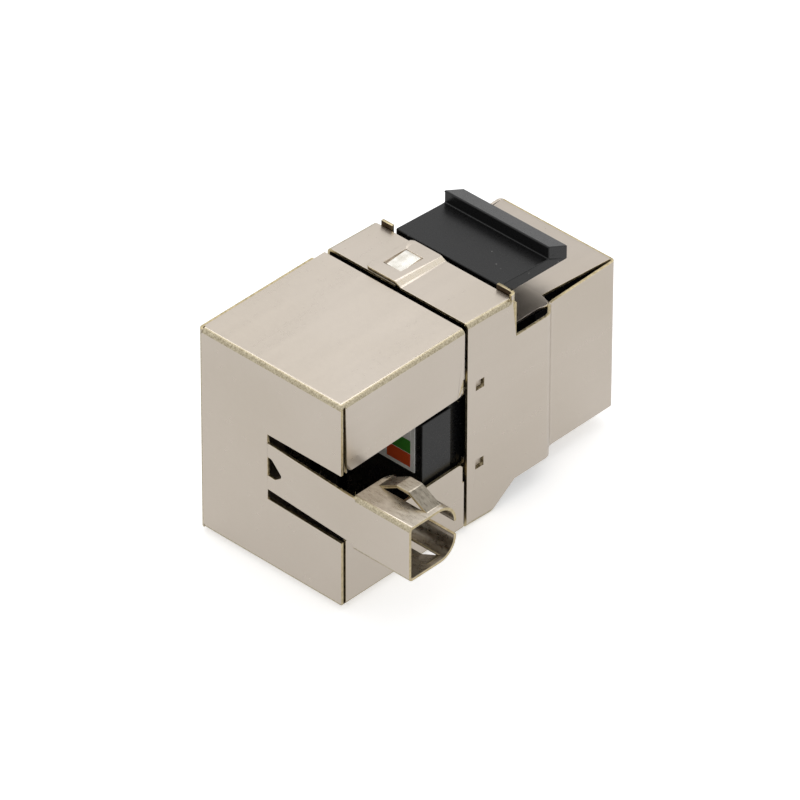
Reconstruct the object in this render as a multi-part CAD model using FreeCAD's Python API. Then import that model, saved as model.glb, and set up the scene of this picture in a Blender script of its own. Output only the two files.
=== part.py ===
import FreeCAD, Part
import os
from math import hypot, sin, tan

# Shielded keystone jack with a side cable outlet. Millimetres.
# X runs across the jack, Y from the plug face (Y = 0) back to the cap, Z up.
# The origin is the centre of the nose's front face, which fills the panel's aperture.
# The side window and the cable clamp are on the -X side.

# ---- sheet metal ---------------------------------------------------------------------------------
SHEET = 0.30            # thickness of the plated sheet
BEND = 0.50             # outer radius of its bends
SHELL_WIDTH = 17.5      # housing, outside
CAP_OVERHANG = 0.15     # the cap stands out past the housing by this much on each side
JOINT_GAP = 0.55        # open seam between the housing and the cap

# ---- nose: the front stretch that fills the panel's aperture -------------------------------------
NOSE_WIDTH = 14.45
NOSE_HEIGHT = 16.6
NOSE_LENGTH = 8.8
SHOULDER_LENGTH = 1.7   # sloping stretch from the nose out to the full width
SHOULDER_ROUND = 1.2    # radius of its two soft bends
SIDE_TOP_REAR = 7.97    # top edge of the nose's side plates, at the shoulder
SIDE_TOP_FRONT = 8.22   # and at the front face
NOSE_TOP_INSET = 1.15   # the top plate's edge, in from the side plate's outside, at the shoulder
NOSE_TOP_INSET_FRONT = 0.42
SHELF_INSET = 1.5       # edge of the shelf under the latch, in from the housing's side
SHELF_SHY = 0.05        # from the shelf's rear edge to the shoulder flange
EAR_INSET = 1.22        # the shelf's ear, which meets the sloping shoulder
EAR_SLANT = 0.32        # its front corner lies this much further in
EAR_LENGTH = (0.35, 0.85)   # from the nose's rear to the ear's front corner and to its tip

# ---- wide housing --------------------------------------------------------------------------------
HOUSING_REAR = 21.5     # Y of its rear edge
HOUSING_TOP = 12.95     # top, at the rear edge
TOP_SLOPE = 0.045       # its top and foot drop towards the front by this much per mm
ROOF_STEP = 0.35        # from the notch's rear edge to the top plate
NOTCH_FRONT = 15.05     # Y of the front edge of the side plates above the shelf
NOTCH_FLOOR = 8.35      # Z of the notch's lower edge
FOOT_BOTTOM = -10.0     # bottom of the foot, at the rear edge
FOOT_LENGTH = 3.05
RECESS_REAR = 15.1      # panel recess under the housing: Y where the foot's slope ends
RECESS_TOP = -7.82
FLANGE_WIDTH = 1.75     # shoulder flange folded in from each side plate
FLANGE_RISE = 0.55      # how far it stands above the top plate
FAR_FLANGE_INSET = 0.9  # the far flange's free corner is cut back this far from the side

# joint of the wrapped sheet on top
LAP_START = -0.40       # X where the raised tab starts to climb
LAP_RAMP = 0.70
LAP_END = 3.95           # X where the raised tab ends
LAP_CLEAR = 0.08        # space between the two layers
LAP_WINDOW = (2.2, 3.1) # window in the raised tab, across and along
LAP_WINDOW_CENTRE = (2.12, 0.05)    # X, and Y from the middle of the top plate
LAP_ROUND = 0.4         # rounded corners of the tab's free end
TOOTH_CLEAR = 0.18
TOOTH_RISE = 0.42       # height of the tooth's free edge above the lower layer

# pressed dimples that hold the cap's spring tabs
DIMPLE_SETBACK = 1.65   # from the housing's rear edge to a dimple's middle
DIMPLE_HEIGHTS = (5.5, -3.4)
DIMPLE_SIZE = (1.1, 1.0)
DIMPLE_DEPTH = 0.36
DIMPLE_DRAFT = 0.82     # its floor against its mouth

# ---- port in the nose ----------------------------------------------------------------------------
PORT_WIDTH = 11.75
PORT_TOP = 4.4
PORT_HEIGHT = 6.7
PORT_DEPTH = 12.8
CLIP_NOTCH = ((6.2, 1.3), (4.0, 1.3))   # steps for the plug's clip: width and extra depth each
PORT_FRAME = 0.25       # the shell's cut-out is this much larger than the port all round

# ---- cap -----------------------------------------------------------------------------------------
CAP_LENGTH = 16.15
CAP_TOP = 12.8
CAP_BOTTOM = -9.75
CORNER_GAP = 0.60       # from the rear plate's face to the side flaps
CORNER_FLARE = 0.15     # the upper flap's gap widens by this much down to the window
CORNER_RELIEF = 0.45    # the top and bottom plates end this far inside the near flaps' faces
WINDOW_TOP = 5.12       # side window, upper and lower edge, at the rear
WINDOW_RISE = 0.42      # the upper edge rises by this much towards the front
WINDOW_BOTTOM = -2.15
SLOT_FLARE = 0.30       # the lower edge drops by this much towards the rear corner
FLAP_CORNER = 0.9       # rounded corners of the upper flap
FAR_EDGE_DROP = 0.10    # the far side plate's top edge lies this far below the top plate
FAR_NOTCH = 1.3

# strap with the cable clamp, cut free from the rear plate
STRAP_ROOT = 0.27       # X of its root
STRAP_CENTRE = 1.55     # Z of its middle
STRAP_HEIGHT = 5.18
STRAP_BEND = 2.0
STRAP_LEAN = 0.60       # how far the strap leans out at the clamp
ROOT_HOLE = (2.06, 1.95)    # D-shaped hole at the root: height and depth
CLAMP_START = 2.0       # from the cap's near side to the clamp
CLAMP_LENGTH = 6.94
CLAMP_HEIGHT = 6.06
CLAMP_CENTRE = 1.25     # Z of its middle
CLAMP_REACH = 6.15
CLAMP_CURL = (2.30, 2.10)   # radius of the upper and of the lower lip
BRIDGE_WIDTH = 1.8      # lanced bridges for the cable tie
BRIDGE_SPAN = 5.9
BRIDGE_RISE = (1.2, 1.0)    # of the upper and of the lower bridge
BRIDGE_FLAT = 1.5
BRIDGE_REACH = 2.8      # from the clamp's outer face to the bridge
BRIDGE_FOOT = 0.5       # from the clamp's end to the bridge's foot

# spring tabs on the cap's front edge
TAB_HEIGHT = 1.8
TAB_LENGTH = 3.05       # ahead of the cap's front edge
TAB_CLEAR = 0.10        # from a dimple's tip to the tab's outer face
TAB_HOLE = (1.4, 1.3)
TAB_RAMP = 0.65         # length of its bend from the side plate inwards
TAB_RELIEF = 0.2        # the bend starts this far behind the cap's front edge

# ---- panel latch ---------------------------------------------------------------------------------
LATCH_WIDTH = 12.95
LATCH_REAR = 14.85
LEG_THICKNESS = 1.25
NECK_THICKNESS = 0.90
LATCH_TOP_REAR = 12.70
HOOK_REAR = 8.39
HOOK_TOP = 13.65
HOOK_FOOT = 12.30       # top of the arm just behind the hook
HOOK_FRONT = 5.85
HOOK_NOSE_TOP = 12.50
HOOK_NOSE_BOTTOM = 11.05
ARM_THICKNESS = 1.25
PIVOT_Y = 14.2
PIVOT_Z = 7.55
PIVOT_RADIUS = 0.75
PIVOT_CLEAR = 0.05

# ---- insert, carrier and contacts ----------------------------------------------------------------
FIT = 0.08              # play of a moulding inside the sheet shell
INSERT_REAR = 17.2
INSERT_BACK_TOP = 11.7
SIDE_STEP = 2.0         # depth of the steps beside the top plate's edges
CARRIER_WIDTH = 10.6
CARRIER_HEIGHT = 1.8
CARRIER_FRONT = 3.2
CARRIER_PLAY = 0.10
CONTACT_COUNT = 8
CONTACT_PITCH = 1.02
CONTACT_SIZE = 0.38
CONTACT_BEND = 0.65
CONTACT_FRONT = 3.9
CONTACT_DROP = 1.35
CONTACT_TIP = (10.4, 1.75)
GROOVE_PLAY = 0.06

# ---- circuit board and wire terminals ------------------------------------------------------------
BOARD_THICKNESS = 1.2
BOARD_SIDE = 0.6        # from the housing's side to the board's edge
BOARD_BOTTOM = -9.2
BOARD_TOP = 11.7
BOARD_CORNER = 1.2
BOARD_GAP = 0.05
HOLE_PLAY = 0.06
IDC_BASE = 1.0
IDC_BLOCK_SIDE = 1.15   # from the housing's side to the terminal block
TOWER_SIDE = 0.6        # from the block's edge to its towers
TOWER_HEIGHT = 4.0
TOWER_LENGTH = 4.8
ROW_HEIGHTS = (8.6, -6.0)
IDC_PITCH = 3.4
IDC_PER_ROW = 4
BLADE_WIDTH = 2.4
BLADE_THICKNESS = 0.5
BLADE_SHY = 0.3         # the blade's tip lies this far inside its tower
FORK_SLOT = 0.34
FORK_DEPTH = 2.6
FORK_MOUTH = 0.9
PIN_WIDTH = 0.6
WIRE_GROOVE = 1.3

# ---- wire manager and label ----------------------------------------------------------------------
MANAGER_REAR = 27.05
MANAGER_BOTTOM = -8.9
MANAGER_TOP = 11.4
MANAGER_PLAY = 0.12
MANAGER_SIDE = 0.12     # clear of the cap's spring tabs
POCKET_DEPTH = 4.9
CORE_WIDTH = 10.6
CORE_DEPTH = 6.0
CORE_WALL = 1.2
MANAGER_ROUND = 0.06
LABEL_THICKNESS = 0.12
LABEL_MARGIN = 0.08
LABEL_BOTTOM = -1.25
LABEL_TOP = 8.75

V = FreeCAD.Vector
HALF = SHELL_WIDTH / 2
CAP_HALF = HALF + CAP_OVERHANG
NOSE_HALF = NOSE_WIDTH / 2
NOSE_TOP = NOSE_HEIGHT / 2
SHOULDER_END = NOSE_LENGTH + SHOULDER_LENGTH
ROOF_FRONT = NOTCH_FRONT + ROOF_STEP
DIMPLE_Y = HOUSING_REAR - DIMPLE_SETBACK
CAP_FRONT = HOUSING_REAR + JOINT_GAP
CAP_REAR = CAP_FRONT + CAP_LENGTH
BOARD_FRONT = INSERT_REAR + BOARD_GAP
BOARD_REAR = BOARD_FRONT + BOARD_THICKNESS
IDC_REAR = BOARD_REAR + IDC_BASE
TOWER_REAR = IDC_REAR + TOWER_LENGTH
MANAGER_FRONT = IDC_REAR + MANAGER_PLAY
TAB_OUTSIDE = HALF - SHEET - DIMPLE_DEPTH - TAB_CLEAR
MANAGER_HALF = TAB_OUTSIDE - SHEET - MANAGER_SIDE
BOARD_HALF = HALF - BOARD_SIDE
IDC_HALF = HALF - IDC_BLOCK_SIDE
TOWER_HALF = IDC_HALF - TOWER_SIDE
CONTACT_TOP = PORT_TOP + 0.15 + CONTACT_SIZE
CLAMP_INNER = -CAP_HALF - CLAMP_START
CLAMP_OUTER = CLAMP_INNER - CLAMP_LENGTH
CLAMP_FACE = CAP_REAR + STRAP_LEAN


# ---- drawing helpers -----------------------------------------------------------------------------
def box(x, y, z):
    """A block between two values of X, of Y and of Z."""
    return Part.makeBox(x[1] - x[0], y[1] - y[0], z[1] - z[0], V(x[0], y[0], z[0]))


def place(plane, u, v, w):
    """A point given in a drawing plane and at a distance w from it."""
    return {"xy": V(u, v, w), "yz": V(w, u, v), "xz": V(u, w, v)}[plane]


def rounded_wire(corners, plane, w):
    """Closed wire through (u, v) or (u, v, radius) corners; a radius makes a tangent arc."""
    count = len(corners)
    ends = []
    for i, corner in enumerate(corners):
        here = V(corner[0], corner[1], 0)
        radius = corner[2] if len(corner) > 2 else 0
        if radius <= 0:
            ends.append((here, None, here))
            continue
        to_last = (V(*corners[i - 1][:2], 0) - here).normalize()
        to_next = (V(*corners[(i + 1) % count][:2], 0) - here).normalize()
        half_angle = to_last.getAngle(to_next) / 2
        run = radius / tan(half_angle)
        middle = (to_last + to_next).normalize() * (radius / sin(half_angle) - radius)
        ends.append((here + to_last * run, here + middle, here + to_next * run))
    edges = []
    for i, (start, middle, end) in enumerate(ends):
        following = ends[(i + 1) % count][0]
        if middle is not None:
            arc = [place(plane, p.x, p.y, w) for p in (start, middle, end)]
            edges.append(Part.Arc(*arc).toShape())
        if (following - end).Length > 1e-6:
            line = [place(plane, p.x, p.y, w) for p in (end, following)]
            edges.append(Part.LineSegment(*line).toShape())
    return Part.Wire(edges)


def prism(corners, plane, start, end, slope=0.0):
    """A flat outline extruded from start to end; slope raises its far end per mm of length."""
    face = Part.Face(rounded_wire(corners, plane, start))
    direction = place(plane, 0, 0, end - start) + V(0, 0, slope * (end - start))
    solid = face.extrude(direction)
    return solid


def strip(path, thickness):
    """Outline of a bent sheet: path is one face, the other lies one thickness to its left."""
    def normal(a, b):
        length = hypot(b[0] - a[0], b[1] - a[1])
        return (-(b[1] - a[1]) / length, (b[0] - a[0]) / length)

    other = []
    for i, corner in enumerate(path):
        before = normal(path[i - 1], corner) if i > 0 else None
        after = normal(corner, path[i + 1]) if i < len(path) - 1 else None
        n1, n2 = before or after, after or before
        share = thickness / (1 + n1[0] * n2[0] + n1[1] * n2[1])
        point = [corner[0] + (n1[0] + n2[0]) * share, corner[1] + (n1[1] + n2[1]) * share]
        if len(corner) > 2:
            turns_left = n1[0] * n2[1] - n1[1] * n2[0] > 0
            point.append(max(corner[2] + (-thickness if turns_left else thickness), 0.02))
        other.append(tuple(point))
    return list(path) + other[::-1]


def ring(left, right, bottom, top, radius):
    """Corners of a rectangle with rounded corners, in the XZ plane."""
    return [(left, bottom, radius), (right, bottom, radius), (right, top, radius), (left, top, radius)]


def frustum(centre, base, tip, height, axis):
    """A pyramid stub from a base rectangle to a tip rectangle, along +X or -X or up."""
    wires = []
    for (a, b), rise in ((base, 0.0), (tip, height)):
        corners = [(-a / 2, -b / 2), (a / 2, -b / 2), (a / 2, b / 2), (-a / 2, b / 2)]
        if axis == "z":
            points = [centre + V(p, q, rise) for p, q in corners]
        else:
            points = [centre + V(rise, p, q) for p, q in corners]
        wires.append(Part.makePolygon(points + points[:1]))
    return Part.makeLoft(wires, True)


def joined(shapes):
    """One clean solid from touching or overlapping pieces."""
    result = shapes[0].multiFuse(shapes[1:]).removeSplitter()
    return result


def mirrored(shape):
    """The same shape on the other side of the jack's middle plane."""
    return shape.mirror(V(0, 0, 0), V(1, 0, 0))


def housing_top(y):
    """Height of the housing's top plate at Y."""
    return HOUSING_TOP - TOP_SLOPE * (HOUSING_REAR - y)


# ---- front shield --------------------------------------------------------------------------------
def side_outline():
    """What the side plates keep, seen from the side: notch, foot and panel recess."""
    foot_front = HOUSING_REAR - FOOT_LENGTH
    return [
        (HOUSING_REAR, HOUSING_TOP + 2), (NOTCH_FRONT, HOUSING_TOP + 2), (NOTCH_FRONT, NOTCH_FLOOR),
        (SHOULDER_END, NOTCH_FLOOR), (NOSE_LENGTH, SIDE_TOP_REAR), (-1, SIDE_TOP_FRONT),
        (-1, -NOSE_TOP), (NOSE_LENGTH, -NOSE_TOP), (SHOULDER_END, RECESS_TOP), (RECESS_REAR, RECESS_TOP),
        (foot_front, FOOT_BOTTOM - TOP_SLOPE * FOOT_LENGTH), (foot_front, FOOT_BOTTOM - 2),
        (HOUSING_REAR, FOOT_BOTTOM - 2),
    ]


def housing_wrap():
    """The wide part: one sheet wrapped round, with its joint on top."""
    outer = ring(-HALF, HALF, FOOT_BOTTOM, HOUSING_TOP, BEND)
    inner = ring(-HALF + SHEET, HALF - SHEET, FOOT_BOTTOM + SHEET, HOUSING_TOP - SHEET, BEND - SHEET)
    front = SHOULDER_END + SHOULDER_ROUND / 2
    wrap = prism(outer, "xz", HOUSING_REAR, front, TOP_SLOPE)
    wrap = wrap.cut(prism(inner, "xz", HOUSING_REAR, front, TOP_SLOPE))
    wrap = wrap.common(prism(side_outline(), "yz", -HALF - 1, HALF + 1))
    above = HOUSING_TOP + 1
    wrap = wrap.cut(box((-HALF + BEND, HALF - BEND), (SHOULDER_END, ROOF_FRONT), (NOTCH_FLOOR, above)))
    shoulder = housing_top(NOTCH_FRONT) - BEND
    return wrap.cut(box((-HALF - 1, HALF + 1), (NOTCH_FRONT - 1, ROOF_FRONT), (shoulder, above)))


def lapped_joint(wrap):
    """The near half's raised tab over the far half, with its window and the locking tooth."""
    low = LAP_START - SHEET
    slot = (LAP_START, LAP_START + LAP_RAMP)
    whole = (ROOF_FRONT, HOUSING_REAR)
    wrap = wrap.cut(box(slot, whole, (HOUSING_TOP - 3, HOUSING_TOP + 1)))
    rise = SHEET + LAP_CLEAR
    path = [(LAP_END, HOUSING_TOP + rise), (slot[1], HOUSING_TOP + rise, BEND), (slot[0], HOUSING_TOP, BEND),
            (low, HOUSING_TOP)]
    plan = [(low - 1, ROOF_FRONT), (LAP_END, ROOF_FRONT, LAP_ROUND), (LAP_END, HOUSING_REAR, LAP_ROUND),
            (low - 1, HOUSING_REAR)]
    tab = prism(strip(path, SHEET), "xz", HOUSING_REAR, ROOF_FRONT, TOP_SLOPE)
    tab = tab.common(prism(plan, "xy", 0, HOUSING_TOP + 2))
    across, along = LAP_WINDOW
    x = LAP_WINDOW_CENTRE[0]
    y = (ROOF_FRONT + HOUSING_REAR) / 2 + LAP_WINDOW_CENTRE[1]
    window = box((x - across / 2, x + across / 2), (y - along / 2, y + along / 2),
                 (HOUSING_TOP, HOUSING_TOP + 1))
    half = along / 2 - TOOTH_CLEAR
    rear, front = y + half, y - half
    side = across / 2 - TOOTH_CLEAR
    wedge = [(rear, housing_top(rear) - SHEET / 2), (front, housing_top(front) - SHEET / 2),
             (front, housing_top(front) + TOOTH_RISE), (front + SHEET, housing_top(front) + TOOTH_RISE, 0.3),
             (rear, housing_top(rear) + TOOTH_RISE / 8)]
    tooth = prism(wedge, "yz", x - side, x + side)
    return joined([wrap, tab.cut(window), tooth])


def shoulder_flange():
    """Small flange folded in from the near side plate, standing just above the top plate."""
    top = housing_top(NOTCH_FRONT) + FLANGE_RISE
    path = [(-HALF + BEND + FLANGE_WIDTH, NOTCH_FRONT), (-HALF, NOTCH_FRONT, BEND),
            (-HALF, NOTCH_FRONT + BEND + 0.2)]
    flange = prism(strip(path, -SHEET), "xy", NOTCH_FLOOR, top)
    corner = 0.6
    cutter = prism([(-HALF - 1, top - corner), (-HALF, top - corner, corner), (-HALF, top), (-HALF, top + 1),
                    (-HALF - 1, top + 1)], "xz", NOTCH_FRONT - 1, NOTCH_FRONT + 2)
    return flange.cut(cutter)


def nose_sides():
    """Side plates and front plate of the nose, with the sloping shoulders: one U of sheet."""
    near = [(-HALF, SHOULDER_END + SHOULDER_ROUND), (-HALF, SHOULDER_END, SHOULDER_ROUND),
            (-NOSE_HALF, NOSE_LENGTH, SHOULDER_ROUND), (-NOSE_HALF, 0, BEND)]
    far = [(-x, y, *r) for x, y, *r in near[::-1]]
    sides = prism(strip(near + far, SHEET), "xy", -NOSE_TOP, max(NOSE_TOP, NOTCH_FLOOR))
    return sides.common(prism(side_outline(), "yz", -HALF - 1, HALF + 1))


def nose_top_and_bottom():
    """Top plate, front plate and bottom plate of the nose, and the shelf under the latch."""
    path = [(NOSE_LENGTH + 1.0, -NOSE_TOP), (0, -NOSE_TOP, BEND), (0, NOSE_TOP, BEND),
            (NOTCH_FRONT, NOSE_TOP)]
    wide = NOSE_HALF - NOSE_TOP_INSET_FRONT
    fold = prism(strip(path, -SHEET), "yz", -HALF, HALF)
    shelf = HALF - SHELF_INSET
    step = NOSE_LENGTH
    ear = HALF - EAR_INSET
    side = [(wide, -1), (wide, SHEET), (NOSE_HALF - NOSE_TOP_INSET, step),
            (ear - EAR_SLANT, step + EAR_LENGTH[0]), (ear, step + EAR_LENGTH[1]), (shelf, SHOULDER_END),
            (shelf, NOTCH_FRONT - SHELF_SHY)]
    plan = side + [(-x, y) for x, y in side[::-1]]
    fold = fold.common(prism(plan, "xy", -HALF - 2, HALF + 2))
    room = LATCH_WIDTH / 2 + 0.2
    leg_room = box((-room, room), (PIVOT_Y - 1.6, NOTCH_FRONT), (0, HALF))
    return fold.cut(leg_room)


def port_cutout(grow, front, rear):
    """Outline of the port and its clip notch, grown all round."""
    bottom = PORT_TOP - PORT_HEIGHT
    cut = box((-PORT_WIDTH / 2 - grow, PORT_WIDTH / 2 + grow), (front, rear),
              (bottom - grow, PORT_TOP + grow))
    for width, drop in CLIP_NOTCH:
        cut = cut.fuse(box((-width / 2 - grow, width / 2 + grow), (front, rear),
                           (bottom - drop - grow, bottom + drop)))
        bottom -= drop
    return cut


def dimpled(shape):
    """Presses the square dimples into both side plates."""
    a, b = DIMPLE_SIZE
    tip = (a * DIMPLE_DRAFT, b * DIMPLE_DRAFT)
    for height in DIMPLE_HEIGHTS:
        skin = frustum(V(-HALF + SHEET - 0.05, DIMPLE_Y, height), (a + 0.25, b + 0.25),
                       (tip[0] + 0.1, tip[1] + 0.1), DIMPLE_DEPTH + 0.05, "x")
        hollow = frustum(V(-HALF - 0.001, DIMPLE_Y, height), (a, b), tip, DIMPLE_DEPTH, "x")
        shape = shape.fuse([skin, mirrored(skin)]).cut([hollow, mirrored(hollow)])
    return shape


def make_front_shield():
    """The front shell: one folded, plated sheet."""
    flange = shoulder_flange()
    cut_back = box((HALF - FAR_FLANGE_INSET, HALF + 1), (NOTCH_FRONT - 1, NOTCH_FRONT + BEND + SHEET),
                   (housing_top(NOTCH_FRONT) - SHEET, HOUSING_TOP + 1))
    flanges = [flange, mirrored(flange).cut(cut_back)]
    shell = joined([lapped_joint(housing_wrap()), *flanges, nose_sides(), nose_top_and_bottom()])
    shell = shell.cut(port_cutout(PORT_FRAME, -1, SHEET + 0.2))
    return dimpled(shell)


# ---- rear cap ------------------------------------------------------------------------------------
def cap_panels():
    """Top, rear and bottom plates, the far side plate and the two near flaps."""
    near_edge = -CAP_HALF + CORNER_RELIEF
    far_edge = CAP_HALF - SHEET - 0.03
    path = [(CAP_FRONT, CAP_TOP), (CAP_REAR, CAP_TOP, BEND), (CAP_REAR, CAP_BOTTOM, BEND),
            (CAP_FRONT, CAP_BOTTOM)]
    back = prism(strip(path, -SHEET), "yz", near_edge, far_edge)
    past = CAP_REAR + 1
    back = back.cut(box((CAP_HALF - BEND, CAP_HALF), (CAP_REAR - BEND, past), (CAP_BOTTOM - 1, CAP_TOP + 1)))
    rounded = [(-CAP_HALF, CAP_TOP, BEND), (CAP_HALF, CAP_TOP), (CAP_HALF, CAP_BOTTOM),
               (-CAP_HALF, CAP_BOTTOM, BEND)]
    corners = prism(strip(path, -SHEET), "yz", -CAP_HALF, near_edge)
    corners = corners.common(prism(rounded, "xz", CAP_REAR - CORNER_GAP - SHEET, past))
    corners = corners.cut(box((-CAP_HALF - 1, 0), (CAP_FRONT, past), (CAP_BOTTOM + BEND, CAP_TOP - BEND)))
    rim = box((-CAP_HALF, near_edge + SHEET), (CAP_REAR - SHEET, CAP_REAR),
              (CAP_BOTTOM + BEND, CAP_TOP - BEND))

    side = [(CAP_HALF - BEND - SHEET, CAP_REAR), (CAP_HALF, CAP_REAR, BEND), (CAP_HALF, CAP_FRONT)]
    far = prism(strip(side, -SHEET), "xy", CAP_BOTTOM + FAR_EDGE_DROP, CAP_TOP - FAR_EDGE_DROP)
    notch = SHEET + BEND
    for low, high in ((CAP_TOP - notch, CAP_TOP), (CAP_BOTTOM, CAP_BOTTOM + notch)):
        far = far.cut(box((CAP_HALF - 1, CAP_HALF + 1), (CAP_FRONT - 1, CAP_FRONT + FAR_NOTCH), (low, high)))
        far = far.cut(box((0, CAP_HALF - BEND), (CAP_REAR - 1, past), (low, high)))

    flaps = []
    flap_rear = CAP_REAR - CORNER_GAP
    for plate, edge, turn in ((CAP_TOP, WINDOW_TOP, 1), (CAP_BOTTOM, WINDOW_BOTTOM, -1)):
        bend = [(near_edge + SHEET, plate), (-CAP_HALF, plate, BEND), (-CAP_HALF, edge)]
        flap = prism(strip(bend, turn * SHEET), "xz", CAP_FRONT, flap_rear)
        flaps.append(flap.cut(flap_corners(edge, turn)))
    flare = [(flap_rear + 1, CAP_TOP - BEND), (flap_rear, CAP_TOP - BEND),
             (flap_rear - CORNER_FLARE, WINDOW_TOP - 1), (flap_rear + 1, WINDOW_TOP - 1)]
    flaps[0] = flaps[0].cut(prism(flare, "yz", -CAP_HALF - 1, near_edge))
    lift = [(flap_rear, WINDOW_TOP), (CAP_FRONT, WINDOW_TOP + WINDOW_RISE),
            (CAP_FRONT - 1, WINDOW_TOP + WINDOW_RISE), (CAP_FRONT - 1, WINDOW_TOP - 1)]
    flaps[0] = flaps[0].cut(prism(lift, "yz", -CAP_HALF - 1, near_edge))
    drop = [(CAP_FRONT, WINDOW_BOTTOM), (past, WINDOW_BOTTOM - SLOT_FLARE), (past, WINDOW_TOP)]
    flaps[1] = flaps[1].cut(prism(drop, "yz", -CAP_HALF - 1, near_edge))
    return joined([back, corners, rim, far] + flaps)


def flap_corners(edge, turn):
    """Cutters that round the window-side corners of a near flap."""
    flap_rear = CAP_REAR - CORNER_GAP - CORNER_FLARE
    reach = 2 * FLAP_CORNER
    cutters = []
    for y, inward in ((flap_rear, -1), (CAP_FRONT, 1)):
        if turn < 0 and inward < 0:
            continue
        level = edge + (WINDOW_RISE if turn > 0 and inward > 0 else 0)
        block = box((-CAP_HALF - 1, -CAP_HALF + 1), sorted((y - 0.01 * inward, y + FLAP_CORNER * inward)),
                    sorted((level - 0.05 * turn, level + FLAP_CORNER * turn)))
        centre = V(-CAP_HALF - 1, y + FLAP_CORNER * inward, level + FLAP_CORNER * turn)
        cutters.append(block.cut(Part.makeCylinder(FLAP_CORNER, reach, centre, V(1, 0, 0))))
    return cutters


def strap_opening():
    """The cut round the strap, which joins the side window."""
    outline = [(STRAP_ROOT, WINDOW_TOP), (STRAP_ROOT, WINDOW_BOTTOM),
               (-CAP_HALF - 1, WINDOW_BOTTOM - SLOT_FLARE), (-CAP_HALF - 1, WINDOW_TOP)]
    return prism(outline, "xz", CAP_REAR - 2 * SHEET, CAP_REAR + 1)


def root_hole():
    """D-shaped hole at the strap's root: straight side on the root, its nose a little below the middle."""
    tall, deep = ROOT_HOLE
    up, down = STRAP_CENTRE + tall / 2, STRAP_CENTRE - tall / 2
    outline = [(STRAP_ROOT, up), (STRAP_ROOT - 0.28 * deep, up, 0.25 * deep),
               (STRAP_ROOT - deep, STRAP_CENTRE - 0.15 * tall, 0.16 * deep),
               (STRAP_ROOT - 0.50 * deep, down, 0.20 * deep), (STRAP_ROOT, down)]
    return prism(outline, "xz", CAP_REAR - 1, CAP_REAR + 1)


def strap():
    """The strap, leaning out from its root, with the hole that eases its bend."""
    low, high = STRAP_CENTRE - STRAP_HEIGHT / 2, STRAP_CENTRE + STRAP_HEIGHT / 2
    path = [(STRAP_ROOT + 2 * SHEET, CAP_REAR), (STRAP_ROOT, CAP_REAR, STRAP_BEND),
            (CLAMP_INNER + 0.7, CLAMP_FACE, STRAP_BEND), (CLAMP_INNER - 0.3, CLAMP_FACE)]
    return prism(strip(path, SHEET), "xy", low, high).cut(root_hole())


def clamp():
    """Open C that grips the cable, with a bridge for the cable tie on each arm."""
    top, bottom = CLAMP_CENTRE + CLAMP_HEIGHT / 2, CLAMP_CENTRE - CLAMP_HEIGHT / 2
    lip = CLAMP_FACE - CLAMP_REACH
    upper, lower = CLAMP_CURL
    path = [(lip, top - upper - 0.05), (lip, top, upper), (CLAMP_FACE, top, BEND), (CLAMP_FACE, bottom, BEND),
            (lip, bottom, lower), (lip, bottom + lower + 0.1)]
    profile = prism(strip(path, -SHEET), "yz", CLAMP_OUTER, CLAMP_INNER)
    y = CLAMP_FACE - BRIDGE_REACH
    foot = CLAMP_OUTER + BRIDGE_FOOT
    end = foot + BRIDGE_SPAN
    ramp = (BRIDGE_SPAN - BRIDGE_FLAT) / 2
    pieces = []
    for level, turn, height in ((top, 1, BRIDGE_RISE[0]), (bottom, -1, BRIDGE_RISE[1])):
        hole = box((foot, end), (y - BRIDGE_WIDTH, y), sorted((level + 0.2 * turn, level - 1.2 * turn)))
        profile = profile.cut(hole)
        rise = level + height * turn
        arch = [(foot - 0.15, level), (foot, level, 0.3), (foot + ramp, rise, 0.4), (end - ramp, rise, 0.4),
                (end, level, 0.3), (end + 0.15, level)]
        pieces.append(prism(strip(arch, -SHEET * turn), "xz", y - BRIDGE_WIDTH, y))
    return joined([profile] + pieces)


def spring_tabs():
    """Tabs that run from the cap's front edge into the housing and click behind its dimples."""
    tabs = []
    tip = CAP_FRONT - TAB_LENGTH
    path = [(-CAP_HALF, CAP_FRONT + 0.9), (-CAP_HALF, CAP_FRONT + TAB_RELIEF, SHEET),
            (-TAB_OUTSIDE, CAP_FRONT + TAB_RELIEF - TAB_RAMP, SHEET), (-TAB_OUTSIDE, tip)]
    for height in DIMPLE_HEIGHTS:
        tab = prism(strip(path, SHEET), "xy", height - TAB_HEIGHT / 2, height + TAB_HEIGHT / 2)
        along, tall = TAB_HOLE
        tab = tab.cut(box((-HALF, -HALF + 2), (DIMPLE_Y - along / 2, DIMPLE_Y + along / 2),
                          (height - tall / 2, height + tall / 2)))
        tabs += [tab, mirrored(tab)]
    return tabs


def tab_reliefs():
    """Clears the cap's flat plate where a tab leaves it."""
    cuts = []
    for height in DIMPLE_HEIGHTS:
        low, high = height - TAB_HEIGHT / 2, height + TAB_HEIGHT / 2
        near = box((-CAP_HALF - 1, -CAP_HALF + SHEET + 0.01), (CAP_FRONT - 1, CAP_FRONT + TAB_RELIEF),
                   (low, high))
        cuts += [near, mirrored(near)]
    return cuts


def make_rear_cap():
    """The rear cap: one folded, plated sheet with its strap and clamp."""
    panels = cap_panels().cut([strap_opening()] + tab_reliefs())
    return joined([panels, strap(), clamp()] + spring_tabs())


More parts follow.
